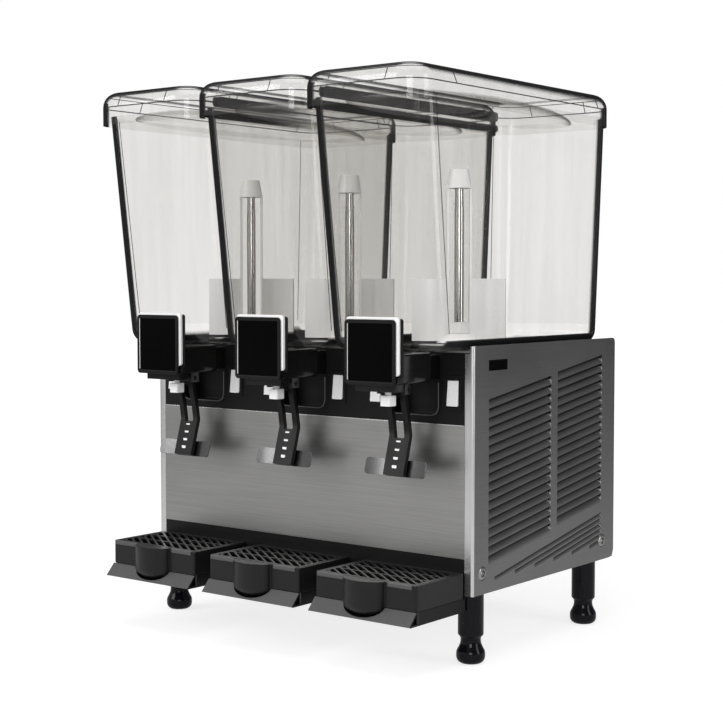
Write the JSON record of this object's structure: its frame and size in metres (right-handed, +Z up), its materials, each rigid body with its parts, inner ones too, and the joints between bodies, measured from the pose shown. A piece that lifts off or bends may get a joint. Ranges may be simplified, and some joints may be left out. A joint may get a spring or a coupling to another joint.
{
  "type": "refrigerated drink dispenser",
  "caption": "Countertop chilled drink dispenser with clear bowls, stirring paddles, push-lever valves, drip trays and a louvred steel refrigeration cabinet on legs.",
  "frame": {"origin": "on the counter, under the middle of the machine's bounding box", "axes": "+Z up, -Y towards the customer, +X towards the customer's right"},
  "size_m": [0.54, 0.47, 0.7223],
  "materials": {
    "brushed_steel": "brushed stainless sheet, grain along the fold",
    "galvanised_steel": "dull galvanised sheet",
    "stainless_steel": "polished stainless",
    "black_plastic": "satin black moulding",
    "tray_plastic": "fine-grained black moulding",
    "apron_plastic": "dark grey moulding",
    "sign_black": "blank gloss black plate in a satin frame",
    "white_plastic": "white food-grade moulding",
    "clear_plastic": "clear impact-proof moulding",
    "black_enamel": "gloss black",
    "rubber": "food-grade rubber",
    "condenser_fins": "thin fins"
  },
  "bodies": {
    "cabinet": {"side_panel_left": "brushed_steel", "side_panel_right": "brushed_steel", "front_panel": "brushed_steel", "top_deck": "brushed_steel", "base_plate": "galvanised_steel", "back_panel": "galvanised_steel", "stir_drive": "galvanised_steel", "fascia": "black_plastic", "power_inlet": "black_plastic", "fan_shroud": "black_plastic", "tray_bracket": "apron_plastic", "compressor": "black_enamel", "condenser": "condenser_fins", "leg_front_left": "black_enamel", "leg_front_right": "black_enamel", "leg_rear_left": "black_enamel", "leg_rear_right": "black_enamel", "evaporator_left": "stainless_steel", "bowl_seal_left": "rubber", "evaporator_middle": "stainless_steel", "bowl_seal_middle": "rubber", "evaporator_right": "stainless_steel", "bowl_seal_right": "rubber"},
    "bowl_left": {"bowl_left": "clear_plastic", "valve_body_left": "black_plastic", "sign_holder_left": "sign_black"},
    "lid_left": {"lid_left": "clear_plastic"},
    "paddle_left": {"paddle_left": "white_plastic"},
    "lever_left": {"lever_left": "black_plastic", "lever_pad_left": "stainless_steel"},
    "valve_plunger_left": {"valve_plunger_left": "white_plastic"},
    "drip_tray_left": {"drip_tray_left": "tray_plastic"},
    "drip_grille_left": {"drip_grille_left": "tray_plastic"},
    "stir_rocker_left": {"stir_rocker_left": "white_plastic"},
    "chill_rocker_left": {"chill_rocker_left": "white_plastic"},
    "bowl_middle": {"bowl_middle": "clear_plastic", "valve_body_middle": "black_plastic", "sign_holder_middle": "sign_black"},
    "lid_middle": {"lid_middle": "clear_plastic"},
    "paddle_middle": {"paddle_middle": "white_plastic"},
    "lever_middle": {"lever_middle": "black_plastic", "lever_pad_middle": "stainless_steel"},
    "valve_plunger_middle": {"valve_plunger_middle": "white_plastic"},
    "drip_tray_middle": {"drip_tray_middle": "tray_plastic"},
    "drip_grille_middle": {"drip_grille_middle": "tray_plastic"},
    "stir_rocker_middle": {"stir_rocker_middle": "white_plastic"},
    "chill_rocker_middle": {"chill_rocker_middle": "white_plastic"},
    "bowl_right": {"bowl_right": "clear_plastic", "valve_body_right": "black_plastic", "sign_holder_right": "sign_black"},
    "lid_right": {"lid_right": "clear_plastic"},
    "paddle_right": {"paddle_right": "white_plastic"},
    "lever_right": {"lever_right": "black_plastic", "lever_pad_right": "stainless_steel"},
    "valve_plunger_right": {"valve_plunger_right": "white_plastic"},
    "drip_tray_right": {"drip_tray_right": "tray_plastic"},
    "drip_grille_right": {"drip_grille_right": "tray_plastic"},
    "stir_rocker_right": {"stir_rocker_right": "white_plastic"},
    "chill_rocker_right": {"chill_rocker_right": "white_plastic"},
    "fan": {"fan_blade": "black_plastic"}
  },
  "joints": [
    {"name": "bowl_lift_left", "type": "slide", "parent": "cabinet", "child": "bowl_left", "axis": [0, 0, 1], "range_m": [0, 0.22]},
    {"name": "lid_lift_left", "type": "slide", "parent": "bowl_left", "child": "lid_left", "axis": [0, 0, 1], "range_m": [0, 0.08]},
    {"name": "paddle_spin_left", "type": "hinge", "parent": "cabinet", "child": "paddle_left", "pos_m": [-0.18, -0.017, 0.391], "axis": [0, 0, 1], "continuous": true},
    {"name": "lever_push_left", "type": "hinge", "parent": "bowl_left", "child": "lever_left", "pos_m": [-0.18, -0.155, 0.338], "axis": [1, 0, 0], "range_deg": [0, 15], "stiffness_Nm_per_rad": 0.25, "springref_deg": -5.73},
    {"name": "plunger_slide_left", "type": "slide", "parent": "bowl_left", "child": "valve_plunger_left", "axis": [0, 0, 1], "range_m": [0, 0.0045]},
    {"name": "tray_slide_left", "type": "slide", "parent": "cabinet", "child": "drip_tray_left", "axis": [0, -1, 0], "range_m": [0, 0.12]},
    {"name": "grille_lift_left", "type": "slide", "parent": "drip_tray_left", "child": "drip_grille_left", "axis": [0, 0, 1], "range_m": [0, 0.05]},
    {"name": "stir_rocker_tilt_left", "type": "hinge", "parent": "cabinet", "child": "stir_rocker_left", "pos_m": [-0.239, -0.115, 0.333], "axis": [1, 0, 0], "range_deg": [0, 11]},
    {"name": "chill_rocker_tilt_left", "type": "hinge", "parent": "cabinet", "child": "chill_rocker_left", "pos_m": [-0.121, -0.115, 0.333], "axis": [1, 0, 0], "range_deg": [0, 11]},
    {"name": "bowl_lift_middle", "type": "slide", "parent": "cabinet", "child": "bowl_middle", "axis": [0, 0, 1], "range_m": [0, 0.22]},
    {"name": "lid_lift_middle", "type": "slide", "parent": "bowl_middle", "child": "lid_middle", "axis": [0, 0, 1], "range_m": [0, 0.08]},
    {"name": "paddle_spin_middle", "type": "hinge", "parent": "cabinet", "child": "paddle_middle", "pos_m": [0, -0.017, 0.391], "axis": [0, 0, 1], "continuous": true},
    {"name": "lever_push_middle", "type": "hinge", "parent": "bowl_middle", "child": "lever_middle", "pos_m": [0, -0.155, 0.338], "axis": [1, 0, 0], "range_deg": [0, 15], "stiffness_Nm_per_rad": 0.25, "springref_deg": -5.73},
    {"name": "plunger_slide_middle", "type": "slide", "parent": "bowl_middle", "child": "valve_plunger_middle", "axis": [0, 0, 1], "range_m": [0, 0.0045]},
    {"name": "tray_slide_middle", "type": "slide", "parent": "cabinet", "child": "drip_tray_middle", "axis": [0, -1, 0], "range_m": [0, 0.12]},
    {"name": "grille_lift_middle", "type": "slide", "parent": "drip_tray_middle", "child": "drip_grille_middle", "axis": [0, 0, 1], "range_m": [0, 0.05]},
    {"name": "stir_rocker_tilt_middle", "type": "hinge", "parent": "cabinet", "child": "stir_rocker_middle", "pos_m": [-0.059, -0.115, 0.333], "axis": [1, 0, 0], "range_deg": [0, 11]},
    {"name": "chill_rocker_tilt_middle", "type": "hinge", "parent": "cabinet", "child": "chill_rocker_middle", "pos_m": [0.059, -0.115, 0.333], "axis": [1, 0, 0], "range_deg": [0, 11]},
    {"name": "bowl_lift_right", "type": "slide", "parent": "cabinet", "child": "bowl_right", "axis": [0, 0, 1], "range_m": [0, 0.22]},
    {"name": "lid_lift_right", "type": "slide", "parent": "bowl_right", "child": "lid_right", "axis": [0, 0, 1], "range_m": [0, 0.08]},
    {"name": "paddle_spin_right", "type": "hinge", "parent": "cabinet", "child": "paddle_right", "pos_m": [0.18, -0.017, 0.391], "axis": [0, 0, 1], "continuous": true},
    {"name": "lever_push_right", "type": "hinge", "parent": "bowl_right", "child": "lever_right", "pos_m": [0.18, -0.155, 0.338], "axis": [1, 0, 0], "range_deg": [0, 15], "stiffness_Nm_per_rad": 0.25, "springref_deg": -5.73},
    {"name": "plunger_slide_right", "type": "slide", "parent": "bowl_right", "child": "valve_plunger_right", "axis": [0, 0, 1], "range_m": [0, 0.0045]},
    {"name": "tray_slide_right", "type": "slide", "parent": "cabinet", "child": "drip_tray_right", "axis": [0, -1, 0], "range_m": [0, 0.12]},
    {"name": "grille_lift_right", "type": "slide", "parent": "drip_tray_right", "child": "drip_grille_right", "axis": [0, 0, 1], "range_m": [0, 0.05]},
    {"name": "stir_rocker_tilt_right", "type": "hinge", "parent": "cabinet", "child": "stir_rocker_right", "pos_m": [0.121, -0.115, 0.333], "axis": [1, 0, 0], "range_deg": [0, 11]},
    {"name": "chill_rocker_tilt_right", "type": "hinge", "parent": "cabinet", "child": "chill_rocker_right", "pos_m": [0.239, -0.115, 0.333], "axis": [1, 0, 0], "range_deg": [0, 11]},
    {"name": "fan_spin", "type": "hinge", "parent": "cabinet", "child": "fan", "pos_m": [0.15, 0.211, 0.196], "axis": [0, 1, 0], "continuous": true}
  ],
  "couplings": [
    {"joint": "plunger_slide_left", "follows": "lever_push_left", "m_per_rad": 0.017},
    {"joint": "plunger_slide_middle", "follows": "lever_push_middle", "m_per_rad": 0.017},
    {"joint": "plunger_slide_right", "follows": "lever_push_right", "m_per_rad": 0.017}
  ]
}
